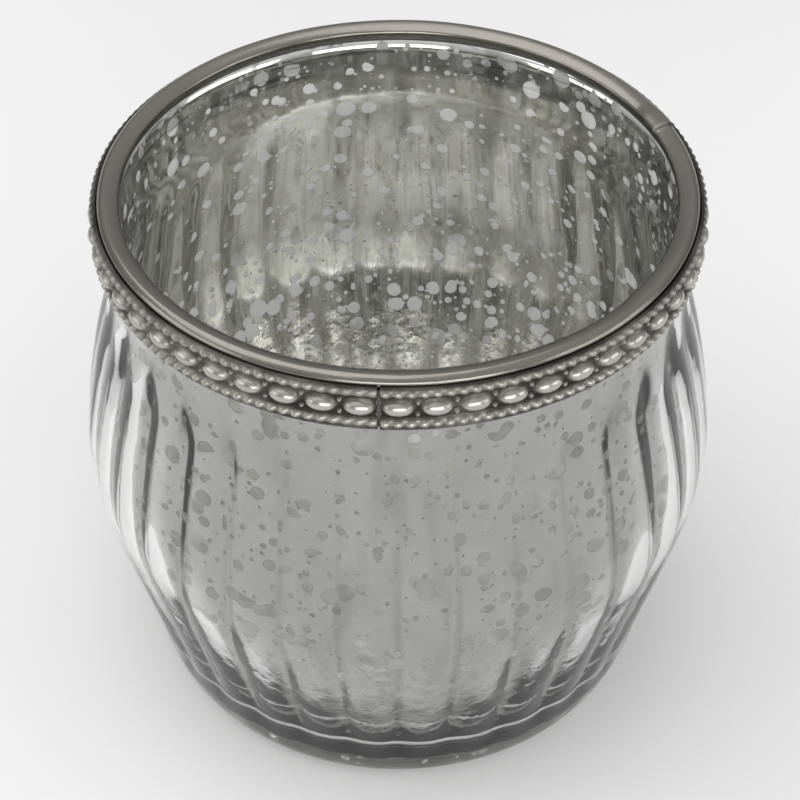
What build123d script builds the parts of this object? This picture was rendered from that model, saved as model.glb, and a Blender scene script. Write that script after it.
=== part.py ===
from build123d import *
from math import cos, sin, sqrt, tau
import os

# Tealight holder: a ribbed, blown-glass bowl silvered on the inside, with a folded metal
# rim cap bedded over its mouth and an embossed, beaded strip soldered round the cap.
# Millimetres. Origin on the table plane under the centre of the bowl, +Z up, front is -Y.

# Driving dimensions
overall_height = 74.0
lip_radius = 36.0            # outside of the rim cap
belly_radius = 40.6          # crest of the ribs at the widest height
belly_height = 37.5
heel_radius = 33.9           # just above the rounded heel
neck_outer_radius = 35.3
neck_inner_radius = 33.9
neck_start = 66.5            # the shoulder becomes a plain upright neck here
glass_top = 72.7
floor_thickness = 5.0
foot_radius = 29.8           # outer edge of the flat ring that the bowl stands on
kick_radius = 24.0           # shallow hollow under the base
kick_depth = 0.7

rib_count = 34
rib_depth = 0.8              # crest to groove on the outside
rib_start = 2.0              # heights where the ribs begin and end
rib_end = 65.0
groove_softness = 0.28       # rounds the bottom of each groove
points_per_rib = 4

wall_stations = 25           # points that carry the inside wall's curve
coating_thickness = 0.12
coating_top = 71.5           # just short of the cap's inner flange

cap_sheet = 0.4
cap_skirt_bottom = 67.3
cap_inner_radius = 33.4
cap_shoulder = 73.0          # where the crown arch springs from skirt and flange
cap_flange_bottom = 72.2
cap_seam_angle = 22.0        # seam direction, measured from +X towards +Y
cap_seam_gap = 1.2           # degrees left open between the two ends of the cap
lap_span = 7.0               # degrees covered by the lapped end
lap_sheet = 0.25

band_bottom = 66.9
band_top = 72.9
band_sheet = 0.45
band_bead_height = 70.2
bead_count = 54
bead_width = 2.4
bead_reach = 37.6            # outermost point of a bead
top_roll_radius = 0.4         # rounded edges above and below the beads
bottom_roll_radius = 0.55
edge_lift = 0.2              # how far the lower roll stands off the strip's face
edge_lip = 0.06              # flat lip outside each roll
row_lift = 0.08              # ground between the beads, above the strip's face
band_joint_bead = 40         # the butt joint is this many beads round from +X towards +Y
band_joint_gap = 0.35

os.makedirs("parts", exist_ok=True)


def smooth_step(value, low, high):
    """0 below low, 1 above high, smooth between."""
    share = min(max((value - low) / (high - low), 0.0), 1.0)
    return share * share * (3.0 - 2.0 * share)


def rib_depth_at(height):
    """Ribs rise out of the heel and die away below the neck."""
    rise = smooth_step(height, rib_start, rib_start + 5.0)
    fall = 1.0 - smooth_step(height, rib_end - 9.0, rib_end)
    return rib_depth * rise * fall


def ribbed_ring(radius, depth):
    """Points round a closed ring of convex ribs with narrow grooves between them."""
    total = rib_count * points_per_rib
    crest = sqrt(1.0 + groove_softness**2)
    ring = []
    for index in range(total):
        angle = tau * index / total
        wave = sqrt(cos(rib_count * angle / 2.0)**2 + groove_softness**2) / crest
        reach = radius - depth * (1.0 - wave)
        ring.append((reach * cos(angle), reach * sin(angle)))
    return ring


def ribbed_solid(stations):
    """Loft closed ribbed rings through (radius, height) stations."""
    with BuildPart() as body:
        for radius, height in stations:
            with BuildSketch(Plane.XY.offset(height)):
                with BuildLine():
                    Spline(*ribbed_ring(radius, rib_depth_at(height)), periodic=True)
                make_face()
        loft(ruled=True)
    return body.part


def stations_along(points, count):
    """Stations at even steps along the smooth meridian through a few points."""
    meridian = Spline(*points)
    steps = [meridian @ (index / (count - 1)) for index in range(count)]
    return [(step.X, step.Y) for step in steps]


# Meridians as (radius, height), from the foot up to the start of the upright neck
outer_meridian = [
    (foot_radius, 0.0),
    (heel_radius - 0.9, 2.0),
    (heel_radius + 1.3, 10.0),
    (belly_radius - 1.0, 28.5),
    (belly_radius, belly_height),
    (belly_radius - 2.0, 50.0),
    (neck_outer_radius + 0.5, 61.0),
    (neck_outer_radius, neck_start),
]
inner_meridian = [
    (24.0, floor_thickness),
    (29.6, floor_thickness + 1.6),
    (32.2, 10.5),
    (belly_radius - 3.2, 28.5),
    (belly_radius - 2.3, belly_height),
    (belly_radius - 4.1, 50.0),
    (neck_inner_radius + 0.4, 61.0),
    (neck_inner_radius, neck_start),
]


def cavity_section(inset):
    """Right half of the bowl's inside, drawn in square from the wall by inset, level at the floor."""
    wall = Spline(*inner_meridian)
    drawn_in = []
    for index in range(wall_stations):
        share = index / (wall_stations - 1)
        spot, along = wall @ share, wall % share
        drawn_in.append((spot.X - inset * along.Y, spot.Y + inset * along.X))
    floor = floor_thickness + inset
    drawn_in[0] = (drawn_in[0][0], floor)
    with BuildSketch() as section:
        with BuildLine():
            Spline(*drawn_in)
            shoulder, top = drawn_in[-1], glass_top + 1.0
            Polyline(
                shoulder, (neck_inner_radius - inset, top), (0.0, top), (0.0, floor), drawn_in[0]
            )
        make_face()
    return section.sketch


# Glass bowl
bowl_stations = stations_along(outer_meridian, 22) + [(neck_outer_radius, glass_top)]
ribbed_body = ribbed_solid(bowl_stations)
glass_inside = cavity_section(0.0)
coating_inside = cavity_section(coating_thickness)

with BuildPart() as cavity:
    with BuildSketch(Plane.XZ):
        add(glass_inside)
    revolve(axis=Axis.Z)

with BuildPart() as glass_bowl:
    add(ribbed_body)
    add(cavity.part, mode=Mode.SUBTRACT)
    with BuildSketch(Plane.XY):
        Circle(kick_radius)
    extrude(amount=kick_depth, taper=35.0, mode=Mode.SUBTRACT)
glass_bowl.part.label = "glass_bowl"
export_step(glass_bowl.part, "parts/glass_bowl.step")


# Silver coating: a thin skin on the whole inside face, from the floor up to the rim cap
with BuildPart() as coating_void:
    with BuildSketch(Plane.XZ):
        add(coating_inside)
    revolve(axis=Axis.Z)

with BuildPart() as silver_coating:
    add(cavity.part)
    add(coating_void.part, mode=Mode.SUBTRACT)
    split(bisect_by=Plane.XY.offset(coating_top), keep=Keep.BOTTOM)
silver_coating.part.label = "silver_coating"
export_step(silver_coating.part, "parts/silver_coating.step")


# Rim cap: sheet metal folded over the glass edge into an inverted channel
crown_middle = (lip_radius + cap_inner_radius) / 2.0
cap_crown = overall_height - lap_sheet


def cap_section():
    """Channel section in the XZ plane: skirt outside, crown arch, short flange inside."""
    with BuildSketch(Plane.XZ) as section:
        with BuildLine():
            Polyline(
                (lip_radius - cap_sheet, cap_skirt_bottom),
                (lip_radius, cap_skirt_bottom),
                (lip_radius, cap_shoulder),
            )
            ThreePointArc(
                (lip_radius, cap_shoulder),
                (crown_middle, cap_crown),
                (cap_inner_radius, cap_shoulder),
            )
            Polyline(
                (cap_inner_radius, cap_shoulder),
                (cap_inner_radius, cap_flange_bottom),
                (cap_inner_radius + cap_sheet, cap_flange_bottom),
                (cap_inner_radius + cap_sheet, cap_shoulder),
            )
            ThreePointArc(
                (cap_inner_radius + cap_sheet, cap_shoulder),
                (crown_middle, cap_crown - cap_sheet),
                (lip_radius - cap_sheet, cap_shoulder),
            )
            Line((lip_radius - cap_sheet, cap_shoulder), (lip_radius - cap_sheet, cap_skirt_bottom))
        make_face()
    return section.sketch


with BuildPart() as rim_cap:
    add(cap_section().rotate(Axis.Z, cap_seam_angle + cap_seam_gap / 2.0))
    revolve(axis=Axis.Z, revolution_arc=360.0 - cap_seam_gap)
    with BuildSketch(Plane.XZ.rotated((0, 0, cap_seam_angle - lap_span / 2.0))):
        with BuildLine():
            ThreePointArc(
                (lip_radius, cap_shoulder),
                (crown_middle, cap_crown),
                (cap_inner_radius, cap_shoulder),
            )
            Line((cap_inner_radius, cap_shoulder), (cap_inner_radius - lap_sheet, cap_shoulder))
            ThreePointArc(
                (cap_inner_radius - lap_sheet, cap_shoulder),
                (crown_middle, overall_height),
                (lip_radius + lap_sheet, cap_shoulder),
            )
            Line((lip_radius + lap_sheet, cap_shoulder), (lip_radius, cap_shoulder))
        make_face()
    revolve(axis=Axis.Z, revolution_arc=lap_span)
rim_cap.part.label = "rim_cap"
export_step(rim_cap.part, "parts/rim_cap.step")


# Rim bedding: the cement that fills the channel between glass and cap
with BuildPart() as rim_bedding:
    with BuildSketch(Plane.XZ):
        with BuildLine():
            Polyline(
                (neck_outer_radius, cap_skirt_bottom + 0.3),
                (lip_radius - cap_sheet, cap_skirt_bottom + 0.3),
                (lip_radius - cap_sheet, cap_shoulder),
            )
            ThreePointArc(
                (lip_radius - cap_sheet, cap_shoulder),
                (crown_middle, cap_crown - cap_sheet),
                (cap_inner_radius + cap_sheet, cap_shoulder),
            )
            Polyline(
                (cap_inner_radius + cap_sheet, cap_shoulder),
                (cap_inner_radius + cap_sheet, glass_top),
                (neck_outer_radius, glass_top),
                (neck_outer_radius, cap_skirt_bottom + 0.3),
            )
        make_face()
    revolve(axis=Axis.Z)
rim_bedding.part.label = "rim_bedding"
export_step(rim_bedding.part, "parts/rim_bedding.step")


# Beaded band: a pressed strip bent round the cap, butt-jointed near the front
bead_step = 360.0 / bead_count
band_joint_angle = band_joint_bead * bead_step
joint_location = Rot(0.0, 0.0, band_joint_angle) * Pos(lip_radius, 0.0)
strip_face = lip_radius + band_sheet
bead_seat = strip_face - 0.15
bead_row_bottom = band_bead_height - bead_width / 2.0
bead_row_top = band_bead_height + bead_width / 2.0

with BuildPart() as beaded_band:
    with BuildSketch(Plane.XZ):
        with Locations((lip_radius, band_bottom)):
            Rectangle(band_sheet, bead_row_bottom - band_bottom, align=(Align.MIN, Align.MIN))
        with Locations((lip_radius, bead_row_top)):
            Rectangle(band_sheet, band_top - bead_row_top, align=(Align.MIN, Align.MIN))
        with Locations((strip_face + edge_lift / 2.0, band_top - top_roll_radius - edge_lip)):
            Circle(top_roll_radius)
        with Locations((strip_face + edge_lift, band_bottom + bottom_roll_radius + edge_lip)):
            Circle(bottom_roll_radius)
    revolve(axis=Axis.Z)
    with BuildSketch(Plane.XY.offset(bead_row_bottom)):
        Circle(strip_face + row_lift)
        with PolarLocations(bead_seat, bead_count, start_angle=bead_step / 2.0):
            Circle(bead_reach - bead_seat)
        Circle(lip_radius, mode=Mode.SUBTRACT)
    extrude(amount=bead_width)
    with BuildSketch(Plane.XY.offset(band_bottom - 1.0)):
        with Locations(joint_location):
            Rectangle(4.0, band_joint_gap)
    extrude(amount=overall_height, mode=Mode.SUBTRACT)
beaded_band.part.label = "beaded_band"
export_step(beaded_band.part, "parts/beaded_band.step")


# Solder: one run in the band's butt joint, one in the cap's lapped seam
with BuildPart() as solder_joints:
    with BuildSketch(Plane.XY.offset(band_bottom)):
        with Locations(joint_location):
            Rectangle(band_sheet, band_joint_gap, align=(Align.MIN, Align.CENTER))
    extrude(amount=band_top - band_bottom)
    add(cap_section().rotate(Axis.Z, cap_seam_angle - cap_seam_gap / 2.0))
    revolve(axis=Axis.Z, revolution_arc=cap_seam_gap)
solder_joints.part.label = "solder_joints"
export_step(solder_joints.part, "parts/solder_joints.step")
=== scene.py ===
import bpy
from math import atan2, cos, dist, pi, radians, sin, sqrt, tau
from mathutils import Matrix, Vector, noise


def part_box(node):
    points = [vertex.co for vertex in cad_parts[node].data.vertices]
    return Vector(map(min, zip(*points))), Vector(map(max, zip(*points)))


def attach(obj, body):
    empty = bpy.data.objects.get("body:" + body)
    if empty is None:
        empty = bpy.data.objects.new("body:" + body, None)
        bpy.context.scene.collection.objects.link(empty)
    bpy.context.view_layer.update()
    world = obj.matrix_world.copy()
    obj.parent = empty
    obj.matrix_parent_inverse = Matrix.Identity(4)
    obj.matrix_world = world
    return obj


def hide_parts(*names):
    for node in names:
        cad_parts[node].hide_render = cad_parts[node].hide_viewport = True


# Tealight holder: ribbed silvered-glass bowl with a folded rim cap and a beaded band.
# Shapes are in millimetres and reach Blender through MM; materials and lights are in metres.
MM = 0.001
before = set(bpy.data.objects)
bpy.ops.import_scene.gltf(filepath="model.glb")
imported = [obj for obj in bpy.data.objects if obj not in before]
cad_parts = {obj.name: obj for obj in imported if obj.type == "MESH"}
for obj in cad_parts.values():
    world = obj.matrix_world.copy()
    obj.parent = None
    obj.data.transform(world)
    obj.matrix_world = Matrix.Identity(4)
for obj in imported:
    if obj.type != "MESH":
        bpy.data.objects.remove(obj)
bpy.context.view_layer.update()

cap_low, cap_high = (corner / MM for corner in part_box("rim_cap"))
band_low, band_high = (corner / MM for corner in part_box("beaded_band"))
bowl_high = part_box("glass_bowl")[1] / MM
coat_low, coat_high = (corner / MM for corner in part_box("silver_coating"))

LIP_RADIUS = cap_high.x
LIP_TOP = cap_high.z
BELLY_RADIUS = bowl_high.x
BELLY_HEIGHT = 37.5
GLASS_TOP = bowl_high.z
FLOOR_HEIGHT = coat_low.z
HEEL_RADIUS = 33.9
NECK_OUTER = 35.3
NECK_INNER = 33.9
NECK_START = 66.5
COAT_TOP = coat_high.z

RIB_COUNT = 34
RIB_SAMPLES = 18
OUTER_RIB = 0.55
INNER_RIB = 0.42
GROOVE_SOFTNESS = 0.30

BEAD_COUNT = 54
DOTS_PER_BEAD = 3
BAND_JOINT = radians(40 * 360 / BEAD_COUNT)
BAND_GAP = 0.28
CAP_SEAM = radians(22.0)
CAP_WIDTH = 2.6             # from the skirt's outside to the inner flange
LAP_EDGE = 0.058            # radians from the seam to the free edge of the lapped end
EDGE_SHADOW = 0.012           # radians each side of that free edge painted dark: a painted shadow line along the lap

FLOOR_RADIUS = 24.0         # flat part of the inside floor
FOOT_RADIUS = 29.8          # outer edge of the ring that the bowl stands on
KICK_DEPTH = 0.7            # shallow hollow under the base
FILM_GAPS = (0.03, 0.09)    # the silver film's two faces, measured in from the glass

LOW_EDGE = 1.0              # heights above the strip's foot: milled edge, beads, milled edge
BEAD_ROW = 3.2
TOP_EDGE = 5.3
STRIP_BACK = 0.06           # how far the strip's back and its ground stand outside the lip
STRIP_GROUND = 0.38
SOLDER_SIDES = 10


# ---------------------------------------------------------------- shapes

def smooth_step(value, low, high):
    share = min(max((value - low) / (high - low), 0.0), 1.0)
    return share * share * (3.0 - 2.0 * share)


def fade_out(height, start, end):
    """1 below start, falling smoothly to 0 at end."""
    return 1.0 - smooth_step(height, start, end)


def smooth_line(points, count):
    """Even samples along the smooth curve through a few (radius, height) points."""
    stops = [0.0]
    for here, after in zip(points, points[1:]):
        stops.append(stops[-1] + dist(here, after))
    slopes = []
    for index in range(len(points)):
        back, ahead = max(index - 1, 0), min(index + 1, len(points) - 1)
        run = stops[ahead] - stops[back]
        slopes.append([(points[ahead][axis] - points[back][axis]) / run for axis in (0, 1)])
    line = []
    span = 0
    for index in range(count):
        travel = stops[-1] * index / (count - 1)
        while span < len(points) - 2 and travel > stops[span + 1]:
            span += 1
        length = stops[span + 1] - stops[span]
        t = (travel - stops[span]) / length
        # cubic Hermite weights: point, slope, next point, next slope
        blend = (2*t**3 - 3*t**2 + 1, t**3 - 2*t**2 + t, -2*t**3 + 3*t**2, t**3 - t**2)
        line.append(tuple(
            blend[0] * points[span][axis] + blend[1] * length * slopes[span][axis]
            + blend[2] * points[span + 1][axis] + blend[3] * length * slopes[span + 1][axis]
            for axis in (0, 1)
        ))
    return line


def rib_wave(angle):
    """1 on the crest of a rib, falling to a narrow groove between ribs."""
    crest = sqrt(1.0 + GROOVE_SOFTNESS**2)
    return sqrt(cos(RIB_COUNT * angle / 2.0)**2 + GROOVE_SOFTNESS**2) / crest


def hand_waves(angle, height, seed):
    """Slow unevenness of a mould-blown wall, between about -1 and 1."""
    spot = Vector((2.2 * cos(angle), 2.2 * sin(angle), height * 0.035 + seed))
    fine = Vector((9.0 * cos(angle), 9.0 * sin(angle), height * 0.05 + seed + 7.0))
    return noise.noise(spot) + 0.5 * noise.noise(fine)


def turned_mesh(name, rows, columns, reach, relief=None, closed=False):
    """Surface round +Z. rows are tuples starting (radius, height); reach(row, angle) gives the
    radius there. A row of radius 0 is one point. relief(row, angle) is kept as an attribute.
    closed joins the last row back to the first."""
    verts, shades, starts = [], [], []
    for row in rows:
        starts.append(len(verts))
        for column in range(1 if row[0] <= 0.0 else columns):
            angle = tau * column / columns
            radius = 0.0 if row[0] <= 0.0 else reach(row, angle)
            verts.append((radius * cos(angle) * MM, radius * sin(angle) * MM, row[1] * MM))
            shades.append(relief(row, angle) if relief else 0.0)
    faces = []
    for index in range(len(rows) if closed else len(rows) - 1):
        above = (index + 1) % len(rows)
        low, high = starts[index], starts[above]
        for column in range(columns):
            after = (column + 1) % columns
            if rows[index][0] <= 0.0:
                faces.append((low, high + after, high + column))
            elif rows[above][0] <= 0.0:
                faces.append((low + column, low + after, high))
            else:
                faces.append((low + column, low + after, high + after, high + column))
    return make_piece(name, verts, faces, shades if relief else None)


def make_piece(name, verts, faces, shades=None):
    mesh = bpy.data.meshes.new(name)
    mesh.from_pydata(verts, [], faces)
    if shades:
        layer = mesh.attributes.new("relief", "FLOAT", "POINT")
        layer.data.foreach_set("value", shades)
    mesh.polygons.foreach_set("use_smooth", [True] * len(mesh.polygons))
    mesh.validate()
    piece = bpy.data.objects.new(name, mesh)
    bpy.context.scene.collection.objects.link(piece)
    return piece


def inner_wall(count):
    """The inside meridian, from the edge of the flat floor up to the foot of the neck."""
    return smooth_line([
        (FLOOR_RADIUS, FLOOR_HEIGHT), (29.6, FLOOR_HEIGHT + 1.6), (32.2, 10.5),
        (BELLY_RADIUS - 3.2, 28.5), (BELLY_RADIUS - 2.3, BELLY_HEIGHT),
        (BELLY_RADIUS - 4.1, 50.0), (NECK_INNER + 0.4, 61.0), (NECK_INNER, NECK_START),
    ], count)


def outer_wall(count):
    """The outside meridian, from the flat foot ring up to the foot of the neck."""
    return smooth_line([
        (FOOT_RADIUS, 0.0), (HEEL_RADIUS - 0.9, 2.0), (HEEL_RADIUS + 1.3, 10.0),
        (BELLY_RADIUS - 1.0, 28.5), (BELLY_RADIUS, BELLY_HEIGHT),
        (BELLY_RADIUS - 2.0, 50.0), (NECK_OUTER + 0.5, 61.0), (NECK_OUTER, NECK_START),
    ], count)


def outer_rib_depth(height):
    deeper = 1.0 + 0.3 * fade_out(height, 16.0, 36.0)
    return OUTER_RIB * deeper * smooth_step(height, 5.0, 15.0) * fade_out(height, 56.0, 66.0)


def inner_rib_depth(height):
    deeper = 1.0 + 0.5 * fade_out(height, 16.0, 36.0)
    return INNER_RIB * deeper * smooth_step(height, 6.5, 12.0) * fade_out(height, 54.0, 60.0)


def outer_reach(row, angle):
    radius, height = row[0], row[1]
    uneven = 0.09 * smooth_step(height, 1.0, 8.0) * fade_out(height, 62.0, 67.0)
    drop = outer_rib_depth(height) * (1.0 - rib_wave(angle))
    return radius - drop + uneven * (hand_waves(angle, height, 3.0) - 1.0)


def inner_reach(row, angle):
    radius, height = row[0], row[1]
    uneven = 0.12 * smooth_step(height, 6.0, 14.0) * fade_out(height, 66.0, 70.0)
    drop = inner_rib_depth(height) * (1.0 - rib_wave(angle))
    return radius - drop + uneven * hand_waves(angle, height, 11.0)


def make_glass():
    """Clear bowl: kicked-up base, heel, ribbed belly, plain neck, rounded edge, ribbed inside."""
    outside = [(0.0, KICK_DEPTH), (12.0, KICK_DEPTH), (23.0, KICK_DEPTH), (23.8, 0.5),
               (24.4, 0.15), (25.2, 0.0), (27.5, 0.0)]
    outside += outer_wall(70)
    outside += [(NECK_OUTER, z) for z in (68.0, 70.0, GLASS_TOP - 0.7, GLASS_TOP - 0.35)]
    edge = [(NECK_OUTER - 0.2, GLASS_TOP - 0.08), (NECK_OUTER - 0.5, GLASS_TOP)]
    edge += [(NECK_INNER + 0.5, GLASS_TOP), (NECK_INNER + 0.2, GLASS_TOP - 0.08)]
    inside = [(NECK_INNER, z) for z in (GLASS_TOP - 0.35, GLASS_TOP - 0.7, 70.0, 68.0)]
    inside += list(reversed(inner_wall(66)))
    inside += [(18.0, FLOOR_HEIGHT), (9.0, FLOOR_HEIGHT), (0.0, FLOOR_HEIGHT)]
    rows = [(r, z, outer_reach) for r, z in outside]
    rows += [(r, z, lambda row, angle: row[0]) for r, z in edge]
    rows += [(r, z, inner_reach) for r, z in inside]
    return turned_mesh(
        "ribbed_glass_bowl", rows, RIB_COUNT * RIB_SAMPLES, lambda row, angle: row[2](row, angle)
    )


def make_silvering():
    """Thin closed film just inside the wall, from the floor up the neck to the rim cap.
    Its attribute is 0 on the face against the glass and 1 on the open face."""
    wall = inner_wall(76) + [(NECK_INNER, z) for z in (68.0, 69.8, COAT_TOP)]
    faces = []
    for gap in FILM_GAPS:
        floor = [(r, FLOOR_HEIGHT + gap, gap) for r in (0.0, 9.0, 18.0)]
        faces.append(floor + [(r, z + gap * fade_out(z, 7.0, 12.0), gap) for r, z in wall])
    against_glass, open_face = faces
    return turned_mesh(
        "silver_film", against_glass + list(reversed(open_face)), RIB_COUNT * RIB_SAMPLES,
        lambda row, angle: inner_reach(row, angle) - row[2],
        lambda row, angle: 1.0 if row[2] == FILM_GAPS[1] else 0.0,
    )


def lap_lift(angle):
    """How far the lapped end of the cap stands above the ring, 0 to 1."""
    away = (angle - CAP_SEAM + pi) % tau - pi
    return smooth_step(away, -LAP_EDGE - 0.004, -LAP_EDGE) * fade_out(away, 0.02, 0.10)


def make_cap():
    """Folded channel: outer skirt, flattened crown with a soft inner slope, short inner flange."""
    outer = LIP_RADIUS
    inner = cap_low.x + 2 * outer - CAP_WIDTH    # cap_low.x is -LIP_RADIUS to within a micron
    outer_side = [(outer - 0.02, z) for z in (cap_low.z, 69.0, 71.0, 72.2)]
    crown = smooth_line([
        (outer - 0.02, 72.6), (outer - 0.12, 73.2), (outer - 0.75, 73.68), (outer - 1.5, 73.6),
        (inner + 0.25, 73.2), (inner, 72.9), (inner + 0.02, 72.2),
    ], 30)
    hidden = [(inner + 0.4, 72.2), (inner + 0.4, 72.8), (inner + 0.7, 73.0), (outer - 0.8, 73.2),
              (outer - 0.4, 72.8), (outer - 0.4, cap_low.z)]
    rows = [(r, z, 1.0) for r, z in outer_side + crown] + [(r, z, 0.0) for r, z in hidden]

    def reach(row, angle):
        wobble = 0.05 * noise.noise(Vector((3.0 * cos(angle), 3.0 * sin(angle), row[1] * 0.2)))
        swell = 0.16 * lap_lift(angle) * smooth_step(row[1], 71.5, 72.8) * row[2]
        middle = (inner + outer) / 2.0
        return row[0] + wobble * row[2] * 0.7 + (swell if row[0] > middle else -swell)

    # On the cap the relief attribute is a painted shadow: 0 in a dark line along the free edge of
    # the lapped end, 1 elsewhere.
    def relief(row, angle):
        away = abs((angle - CAP_SEAM + LAP_EDGE + pi) % tau - pi)
        return 1.0 - smooth_step(EDGE_SHADOW - away, 0.0, EDGE_SHADOW)

    cap = turned_mesh("rim_cap_ring", rows, 720, reach, relief, closed=True)
    for vertex in cap.data.vertices:
        angle = atan2(vertex.co.y, vertex.co.x)
        if vertex.co.z > 73.0 * MM:
            vertex.co.z += 0.2 * MM * lap_lift(angle)
            vertex.co.z += 0.05 * MM * noise.noise(Vector((4 * cos(angle), 4 * sin(angle), 5.0)))
    return cap


def dome(across, along, half_across, half_along):
    """Half-ellipsoid bump: 1 on top, 0 outside its outline."""
    spread = (across / half_across)**2 + (along / half_along)**2
    return sqrt(1.0 - spread) if spread < 1.0 else 0.0


def roll(along, middle, half):
    """Round ridge running the length of the strip."""
    away = (along - middle) / half
    return sqrt(1.0 - away * away) if abs(away) < 1.0 else 0.0


def band_relief(angle, height):
    """Pressed pattern of the strip in millimetres above its ground."""
    pitch = tau / BEAD_COUNT
    phase = ((angle - BAND_JOINT) / pitch) % 1.0 - 0.5
    across = phase * pitch * LIP_RADIUS
    dot_phase = ((angle - BAND_JOINT) / pitch * DOTS_PER_BEAD) % 1.0 - 0.5
    dot_across = dot_phase * pitch / DOTS_PER_BEAD * LIP_RADIUS
    before_joint = BAND_JOINT - angle
    dirt = smooth_step(radians(16) - before_joint, 0.0, radians(10)) if before_joint > 0.0 else 0.0
    wear = 1.0 - 0.45 * dirt
    low_dot = dome(dot_across, height - LOW_EDGE, 0.52, 0.5)
    low_edge = 0.34 * roll(height, LOW_EDGE, 0.62) + wear * 0.34 * low_dot
    top_dot = dome(dot_across + 0.25 * (height - TOP_EDGE), height - TOP_EDGE, 0.5, 0.5)
    top_edge = 0.3 * roll(height, TOP_EDGE, 0.6) + wear * 0.26 * top_dot
    bead = 0.95 * dome(across, height - BEAD_ROW, 1.72, 1.0)
    collar = 0.22 * dome(across, height - BEAD_ROW, 2.0, 1.4)
    gap = pitch * LIP_RADIUS / 2.0 - abs(across)
    stud = 0.4 * max(dome(gap, height - 2.35, 0.33, 0.33), dome(gap, height - 4.05, 0.33, 0.33))
    lip = 0.12 * fade_out(height, 0.25, 0.4)
    return max(low_edge, top_edge, bead, collar, stud, lip)


def make_band():
    """Pressed strip with real beads, collars, studs and two milled edges, cut at the butt joint."""
    columns = BEAD_COUNT * DOTS_PER_BEAD * 9
    face_rows = 46
    span = band_high.z - band_low.z
    back, ground = LIP_RADIUS + STRIP_BACK, LIP_RADIUS + STRIP_GROUND
    half_gap = BAND_GAP / 2.0 / LIP_RADIUS
    verts, shades, faces = [], [], []
    ring = face_rows + 2
    for column in range(columns + 1):
        share = column / columns
        angle = BAND_JOINT + half_gap + (tau - 2.0 * half_gap) * share
        sag = 0.06 * noise.noise(Vector((3 * cos(angle), 3 * sin(angle), 20.0)))
        outline = []
        for row in range(face_rows):
            height = span * row / (face_rows - 1)
            lift = band_relief(angle % tau, height)
            outline.append((ground + lift, height, min(lift / 0.9, 1.0)))
        outline += [(back, span, 0.0), (back, 0.0, 0.0)]
        for radius, height, shade in outline:
            verts.append((radius * cos(angle) * MM, radius * sin(angle) * MM,
                          (band_low.z + 0.06 + height * 0.98 + sag) * MM))
            shades.append(shade)
    for column in range(columns):
        here, after = column * ring, (column + 1) * ring
        for row in range(ring):
            up = (row + 1) % ring
            faces.append((here + row, after + row, after + up, here + up))
    faces.append(tuple(range(ring)))
    faces.append(tuple(reversed(range(columns * ring, columns * ring + ring))))
    return make_piece("beaded_strip", verts, faces, shades)


def make_solder():
    """Soft, uneven runs: one standing in the strip's butt joint, one along the cap's lapped end."""
    verts, faces = [], []

    def run(path, half_width, seed):
        first = len(verts)
        for index, (centre, out, side) in enumerate(path):
            swell = 1.0 + 0.35 * noise.noise(Vector((index * 0.6, seed, 0.0)))
            end = sin(pi * (index + 0.35) / (len(path) - 0.3))**0.5
            for corner in range(SOLDER_SIDES):
                turn = tau * corner / SOLDER_SIDES
                offset = side * (cos(turn) * half_width * swell * end)
                offset += out * (sin(turn) * half_width * 0.7 * swell * end)
                verts.append(tuple((centre + offset) * MM))
        for index in range(len(path) - 1):
            for corner in range(SOLDER_SIDES):
                after = (corner + 1) % SOLDER_SIDES
                low, high = first + index * SOLDER_SIDES, first + (index + 1) * SOLDER_SIDES
                faces.append((low + corner, high + corner, high + after, low + after))
        faces.append(tuple(range(first, first + SOLDER_SIDES)))
        faces.append(tuple(reversed(range(len(verts) - SOLDER_SIDES, len(verts)))))

    out = Vector((cos(BAND_JOINT), sin(BAND_JOINT), 0.0))
    side = Vector((-sin(BAND_JOINT), cos(BAND_JOINT), 0.0))
    climb = band_high.z - band_low.z - 0.8
    heights = [band_low.z + 0.4 + climb * index / 13 for index in range(14)]
    run([(out * (LIP_RADIUS + 0.32) + Vector((0, 0, z)), out, side) for z in heights], 0.34, 4.0)
    angle = CAP_SEAM - LAP_EDGE - 0.006    # just past the free edge of the lapped end
    out = Vector((cos(angle), sin(angle), 0.0))
    side = Vector((-sin(angle), cos(angle), 0.0))
    crest = smooth_line([
        (LIP_RADIUS - 0.05, 72.9), (LIP_RADIUS - 0.12, 73.2), (LIP_RADIUS - 0.75, 73.66),
        (LIP_RADIUS - 1.5, 73.58), (LIP_RADIUS - 2.35, 73.15), (LIP_RADIUS - 2.58, 72.7),
    ], 14)
    run([(out * r + Vector((0, 0, z)), Vector((0, 0, 1)), side) for r, z in crest], 0.12, 9.0)
    return make_piece("seam_solder", verts, faces)


# ------------------------------------------------------------- materials

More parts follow.
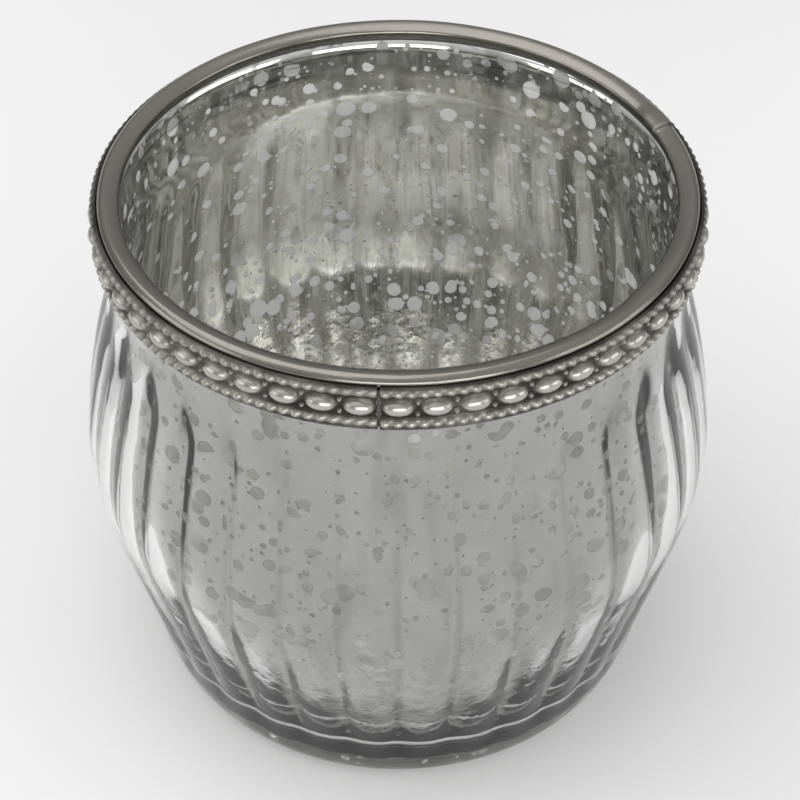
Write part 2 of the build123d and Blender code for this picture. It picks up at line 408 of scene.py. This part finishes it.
class Shader:
    """One node material: a Principled surface plus short calls that add and wire nodes."""

    def __init__(self, name, **surface):
        self.material = bpy.data.materials.new(name)
        self.material.use_nodes = True
        self.tree = self.material.node_tree
        self.surface = self.tree.nodes["Principled BSDF"]
        for socket, value in surface.items():
            self.surface.inputs[socket.replace("_", " ")].default_value = value
        self.place = self.node("ShaderNodeTexCoord").outputs["Object"]

    def node(self, kind, **inputs):
        made = self.tree.nodes.new(kind)
        for socket, value in inputs.items():
            self.feed(made.inputs[socket.replace("_", " ")], value)
        return made

    def feed(self, socket, value):
        if isinstance(value, bpy.types.NodeSocket):
            self.tree.links.new(value, socket)
        else:
            socket.default_value = value

    def set_surface(self, socket, value):
        self.feed(self.surface.inputs[socket], value)

    def math(self, operation, *values, clamp=False):
        made = self.tree.nodes.new("ShaderNodeMath")
        made.operation = operation
        made.use_clamp = clamp
        for socket, value in zip(made.inputs, values):
            self.feed(socket, value)
        return made.outputs[0]

    def noise(self, scale, detail=2.0, stretch=(1.0, 1.0, 1.0), roughness=0.5, place=None):
        mapped = self.node("ShaderNodeMapping", Vector=place or self.place, Scale=stretch)
        made = self.node("ShaderNodeTexNoise", Vector=mapped.outputs[0], Scale=scale,
                         Detail=detail, Roughness=roughness)
        return made.outputs[0]

    def ramp(self, value, *stops):
        made = self.tree.nodes.new("ShaderNodeValToRGB")
        self.feed(made.inputs[0], value)
        points = made.color_ramp.elements
        while len(points) < len(stops):
            points.new(0.5)
        for point, (spot, tone) in zip(points, stops):
            point.position = spot
            point.color = (*tone, 1.0) if isinstance(tone, tuple) else (tone, tone, tone, 1.0)
        return made.outputs[0]

    def mix(self, share, first, second):
        """Colour going from first to second; sockets 6 and 7 are the node's two colours."""
        made = self.tree.nodes.new("ShaderNodeMix")
        made.data_type = "RGBA"
        self.feed(made.inputs[0], share)
        self.feed(made.inputs[6], first)
        self.feed(made.inputs[7], second)
        return made.outputs[2]

    def product(self, first, second):
        return self.math("MULTIPLY", first, second)

    def highest(self, first, *others):
        for other in others:
            first = self.math("MAXIMUM", first, other)
        return first

    def turn(self):
        """Angle round +Z."""
        axis = self.node("ShaderNodeSeparateXYZ", Vector=self.place)
        return self.math("ARCTAN2", axis.outputs[1], axis.outputs[0])

    def attribute(self, name):
        made = self.node("ShaderNodeAttribute")
        made.attribute_name = name
        return made.outputs["Fac"]

    def between(self, value, low, high):
        """0 at low and 1 at high; low may be the larger."""
        return self.node("ShaderNodeMapRange", Value=value, From_Min=low, From_Max=high).outputs[0]

    def by_height(self, low, high):
        """0 at the first height and 1 at the second, in metres above the base."""
        height = self.node("ShaderNodeSeparateXYZ", Vector=self.place).outputs[2]
        return self.between(height, low, high)

    def bump(self, height, distance, strength=1.0, normal=None):
        made = self.node("ShaderNodeBump", Height=height, Distance=distance, Strength=strength)
        if normal:
            self.feed(made.inputs["Normal"], normal)
        return made.outputs[0]

    def spots(self, cell, largest, share):
        """Round spots: cell is the spacing in metres, largest the widest radius in cells, and
        share how many of the cells have one."""
        cells = self.node("ShaderNodeTexVoronoi", Vector=self.place, Scale=1.0 / cell)
        chance = self.node("ShaderNodeSeparateColor", Color=cells.outputs["Color"]).outputs[0]
        radius = self.product(self.math("SUBTRACT", chance, 1.0 - share), largest / share)
        inside = self.math("SUBTRACT", radius, cells.outputs["Distance"])
        return self.math("MULTIPLY", inside, 40.0, clamp=True)

    def put_on(self, piece):
        piece.data.materials.clear()
        piece.data.materials.append(self.material)


def glass_material():
    """Clear, faintly green glass: fire-polished waves, rougher and hammered low on the belly."""
    look = Shader("clear_glass", Base_Color=(0.968, 0.974, 0.964, 1.0), Roughness=0.0,
                  Transmission_Weight=1.0, IOR=1.5)
    low = look.by_height(0.040, 0.012)
    waves = look.noise(60.0, 1.0, (1.0, 1.0, 0.35))
    hammered = look.noise(420.0, 3.0, (1.0, 1.0, 0.8), 0.6)
    rough_skin = look.product(hammered, low)
    normal = look.bump(waves, 0.0004)
    look.set_surface("Normal", look.bump(rough_skin, 0.00005, 1.0, normal))
    return look


def speck_mask(look):
    """1 inside the round worn specks: dust in patches, three wider sizes, more on the belly."""
    patches = look.between(look.noise(42.0, 2.0), 0.36, 0.56)
    belly = look.product(look.by_height(0.014, 0.024), look.by_height(0.046, 0.034))
    return look.highest(
        look.product(look.spots(0.0011, 0.42, 0.60), patches),
        look.spots(0.0020, 0.46, 0.70),
        look.spots(0.0036, 0.42, 0.80),
        look.spots(0.0070, 0.22, 0.70),
        look.product(look.spots(0.0029, 0.50, 0.85), belly),
    )


def film_tone(look, specks, low, behind_glass):
    """Clouded grey, painted much lighter on the open face as painted light for the inside of the
    bowl, paler low on the glass side (chalky film plus painted light), specks painted light on the
    open face and dark on the glass side as light and shade seen through them, dark grooves and
    streaks, and a worn neck.
    """
    cloudy = look.noise(140.0, 4.0)
    outside = look.mix(cloudy, (0.30, 0.30, 0.29, 1.0), (0.42, 0.42, 0.41, 1.0))
    # Low on the face against the glass the film turns pale: partly a chalky worn film, partly
    # painted light lifting the shade low down.
    outside = look.mix(look.product(low, 0.85), outside, (0.80, 0.79, 0.74, 1.0))
    crest = look.math("ABSOLUTE", look.math("COSINE", look.product(look.turn(), RIB_COUNT / 2.0)))
    lower_half = look.by_height(0.056, 0.028)
    groove = look.product(look.between(crest, 0.34, 0.04), lower_half)
    outside = look.mix(look.product(groove, 0.75), outside, (0.20, 0.20, 0.18, 1.0))
    # Specks on the face against the glass are painted dark: painted shade for the dim inside of the
    # bowl seen through the worn spots.
    outside = look.mix(specks, outside, (0.12, 0.115, 0.095, 1.0))
    # The open face inside the bowl is painted far lighter than the face against the glass: painted
    # light standing in for the light inside the bowl.
    inside = look.mix(cloudy, (0.70, 0.705, 0.675, 1.0), (0.83, 0.835, 0.805, 1.0))
    # Specks on the open face are painted near white: painted light for the light shining in through
    # the worn spots.
    inside = look.mix(specks, inside, (0.93, 0.92, 0.90, 1.0))
    tone = look.mix(behind_glass, inside, outside)
    mottle = look.between(look.noise(260.0, 4.0, (1.0, 1.0, 0.8), 0.6), 0.50, 0.60)
    beige = look.product(mottle, look.product(low, 0.8))
    tone = look.mix(beige, tone, (0.60, 0.57, 0.50, 1.0))
    streaks = look.between(look.noise(190.0, 3.0, (1.0, 1.0, 0.10), 0.6), 0.52, 0.66)
    tone = look.mix(look.product(streaks, 0.45), tone, (0.20, 0.20, 0.19, 1.0))
    neck = look.by_height(0.0655, 0.0675)
    flecks = look.between(look.noise(330.0, 4.0, (0.35, 0.35, 3.2), 0.6), 0.56, 0.64)
    return look.mix(look.product(neck, look.product(flecks, 0.6)), tone, (0.06, 0.06, 0.055, 1.0))


def film_roughness(look, specks, low, behind_glass, open_face):
    """Nearly polished, duller low behind the glass, on the floor and inside the specks."""
    haze = look.product(look.noise(230.0, 3.0), 0.14)
    haze = look.math("ADD", haze, look.product(open_face, 0.02))
    haze = look.math("ADD", haze, look.product(look.product(low, behind_glass), 0.25))
    haze = look.math("ADD", haze, look.product(look.by_height(0.0085, 0.0055), 0.26))
    return look.math("ADD", haze, look.product(specks, 0.5), clamp=True)


def silver_material():
    """Aged silvering: thinned in round specks, crackled low down, chalky there behind the glass and
    painted lighter there to lift the shade low down.
    """
    look = Shader("antique_silvering", Metallic=1.0)
    specks = speck_mask(look)
    low = look.by_height(0.030, 0.010)
    open_face = look.attribute("relief")
    behind_glass = look.math("SUBTRACT", 1.0, open_face)
    crackle = look.between(look.noise(620.0, 4.0, (1.0, 1.0, 1.6), 0.65), 0.60, 0.64)
    worn = look.product(look.product(crackle, low), 0.45)
    thinned = look.highest(look.product(specks, 0.57), worn)
    look.set_surface("Alpha", look.math("SUBTRACT", 1.0, thinned, clamp=True))
    look.set_surface("Base Color", film_tone(look, specks, low, behind_glass))
    matt = look.highest(specks, look.product(look.product(low, behind_glass), 0.85))
    look.set_surface("Metallic", look.math("SUBTRACT", 1.0, matt, clamp=True))
    look.set_surface("Roughness", film_roughness(look, specks, low, behind_glass, open_face))
    ripple = look.bump(look.noise(300.0, 2.0, (1.0, 1.0, 0.4)), 0.00005)
    dents = look.product(look.noise(520.0, 2.0), low)
    look.set_surface("Normal", look.bump(dents, 0.00010, 1.0, ripple))
    return look


def pewter_material(name, dark, bright, streak):
    """Antiqued metal: relief attribute keeps recesses dark and crests rubbed bright; on the cap it
    carries a painted shadow line along the lapped end.
    """
    look = Shader(name, Metallic=1.0)
    grime = look.noise(700.0, 5.0, (1.0, 1.0, 1.0), 0.65)
    uneven = look.product(look.math("SUBTRACT", grime, 0.5), 0.5)
    # relief plus grime: rubbed wear on the band, and on the cap also the painted shadow line at the
    # lapped end
    worn = look.math("ADD", look.attribute("relief"), uneven)
    halfway = tuple((a + b) / 2 for a, b in zip(dark, bright))
    tone = look.ramp(worn, (0.05, dark), (0.4, halfway), (0.85, bright))
    stain = tuple(0.72 * part for part in bright) + (1.0,)
    stained = look.mix(look.between(look.noise(110.0, 3.0), 0.45, 0.7), tone, stain)
    look.set_surface("Base Color", look.mix(0.35, tone, stained))
    rough = look.math("SUBTRACT", 0.50, look.product(worn, 0.30))
    look.set_surface("Roughness", rough)
    axis = look.node("ShaderNodeSeparateXYZ", Vector=look.place)
    x, y, z = axis.outputs
    radius = look.math("SQRT", look.math("ADD", look.product(x, x), look.product(y, y)))
    along = look.node("ShaderNodeCombineXYZ", X=look.product(look.turn(), 0.0012),
                      Y=radius, Z=z).outputs[0]
    scratches = look.bump(look.noise(5200.0, 2.0, place=along), 0.00002 * streak)
    look.set_surface("Normal", look.bump(grime, 0.00003, 1.0, scratches))
    return look


def cement_material():
    """Pale, matt and gritty."""
    look = Shader("set_cement", Roughness=0.9)
    tone = look.mix(look.noise(900.0, 4.0), (0.55, 0.56, 0.52, 1.0), (0.80, 0.81, 0.77, 1.0))
    look.set_surface("Base Color", tone)
    look.set_surface("Normal", look.bump(look.noise(1800.0, 3.0), 0.00005))
    return look


# ------------------------------------------------------------- assembly

def place(piece, look, slot, node):
    """Give a piece its material and let it stand for the CAD node."""
    look.put_on(piece)
    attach(piece, "root")
    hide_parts(node)


place(make_glass(), glass_material(), "clear_glass", "glass_bowl")
place(make_silvering(), silver_material(), "silvering", "silver_coating")
cap_metal = pewter_material("cap_pewter", (0.07, 0.064, 0.056), (0.25, 0.235, 0.21), 1.0)
band_metal = pewter_material("band_pewter", (0.05, 0.045, 0.04), (0.48, 0.46, 0.42), 0.5)
solder_metal = pewter_material("dull_solder", (0.12, 0.115, 0.11), (0.3, 0.29, 0.27), 0.3)
place(make_cap(), cap_metal, "rim_metal", "rim_cap")
place(make_band(), band_metal, "band_metal", "beaded_band")
place(make_solder(), solder_metal, "solder", "solder_joints")
cement_material().put_on(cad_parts["rim_bedding"])


# ------------------------------------------------------- stage and camera

def make_floor(half_size, tone):
    """One plain pale floor, level with the holder's base."""
    mesh = bpy.data.meshes.new("floor")
    signs = [(-1, -1), (1, -1), (1, 1), (-1, 1)]
    corners = [(x * half_size * MM, y * half_size * MM, 0.0) for x, y in signs]
    mesh.from_pydata(corners, [], [(0, 1, 2, 3)])
    floor = bpy.data.objects.new("floor", mesh)
    bpy.context.scene.collection.objects.link(floor)
    paint = bpy.data.materials.new("floor_paint")
    paint.use_nodes = True
    surface = paint.node_tree.nodes["Principled BSDF"]
    surface.inputs["Base Color"].default_value = (tone, tone, tone, 1.0)
    surface.inputs["Roughness"].default_value = 1.0
    surface.inputs["Specular IOR Level"].default_value = 0.0
    mesh.materials.append(paint)


def make_dome(horizon, zenith):
    """Soft even surround, a little dimmer towards the horizon."""
    world = bpy.data.worlds.new("studio")
    bpy.context.scene.world = world
    world.use_nodes = True
    tree = world.node_tree
    direction = tree.nodes.new("ShaderNodeTexCoord").outputs["Generated"]
    parts = tree.nodes.new("ShaderNodeSeparateXYZ")
    tree.links.new(direction, parts.inputs[0])
    ramp = tree.nodes.new("ShaderNodeValToRGB")
    tree.links.new(parts.outputs[2], ramp.inputs[0])
    low, high = ramp.color_ramp.elements
    low.position, low.color = 0.0, (horizon, horizon, horizon, 1.0)
    high.position, high.color = 0.8, (zenith, zenith, zenith, 1.0)
    tree.links.new(ramp.outputs[0], tree.nodes["Background"].inputs[0])


def soft_light(name, spot, aim, width, height, power):
    """A soft box in metres and watts, turned to face its aim."""
    data = bpy.data.lights.new(name, "AREA")
    data.shape = "RECTANGLE"
    data.size, data.size_y, data.energy = width, height, power
    lamp = bpy.data.objects.new(name, data)
    bpy.context.scene.collection.objects.link(lamp)
    lamp.location = spot
    lamp.rotation_euler = (Vector(aim) - Vector(spot)).to_track_quat("-Z", "Y").to_euler()


make_floor(3000.0, 0.86)
make_dome(0.30, 0.72)
soft_light("overhead_softbox", (-0.14, 0.04, 0.50), (0.0, 0.0, 0.04), 0.50, 0.50, 0.95)
soft_light("right_softbox", (0.75, -0.25, 0.28), (0.0, 0.0, 0.04), 0.60, 0.40, 1.3)
soft_light("left_softbox", (-0.75, -0.20, 0.28), (0.0, 0.0, 0.04), 0.60, 0.40, 1.1)
soft_light("front_softbox", (0.10, -0.80, 0.24), (0.0, 0.0, 0.02), 0.80, 0.40, 3.2)

# Camera: distance and aim in lip radii, worked out from the holder's own size
PITCH = radians(42.675)
CAMERA_DISTANCE = 7.315 * LIP_RADIUS
AIM_HEIGHT = LIP_TOP - 0.84 - 0.984 * LIP_RADIUS
camera_data = bpy.data.cameras.new("camera")
camera_data.sensor_width = 36.0
camera_data.lens = 90.0
camera_data.shift_x = 0.0021
camera_data.clip_start, camera_data.clip_end = 0.01, 20.0
camera = bpy.data.objects.new("camera", camera_data)
bpy.context.scene.collection.objects.link(camera)
camera_height = AIM_HEIGHT + CAMERA_DISTANCE * sin(PITCH)
camera.location = Vector((0.0, -CAMERA_DISTANCE * cos(PITCH), camera_height)) * MM
camera.rotation_euler = (pi / 2.0 - PITCH, 0.0, 0.0)
bpy.context.scene.camera = camera
bpy.context.scene.view_settings.view_transform = "Standard"
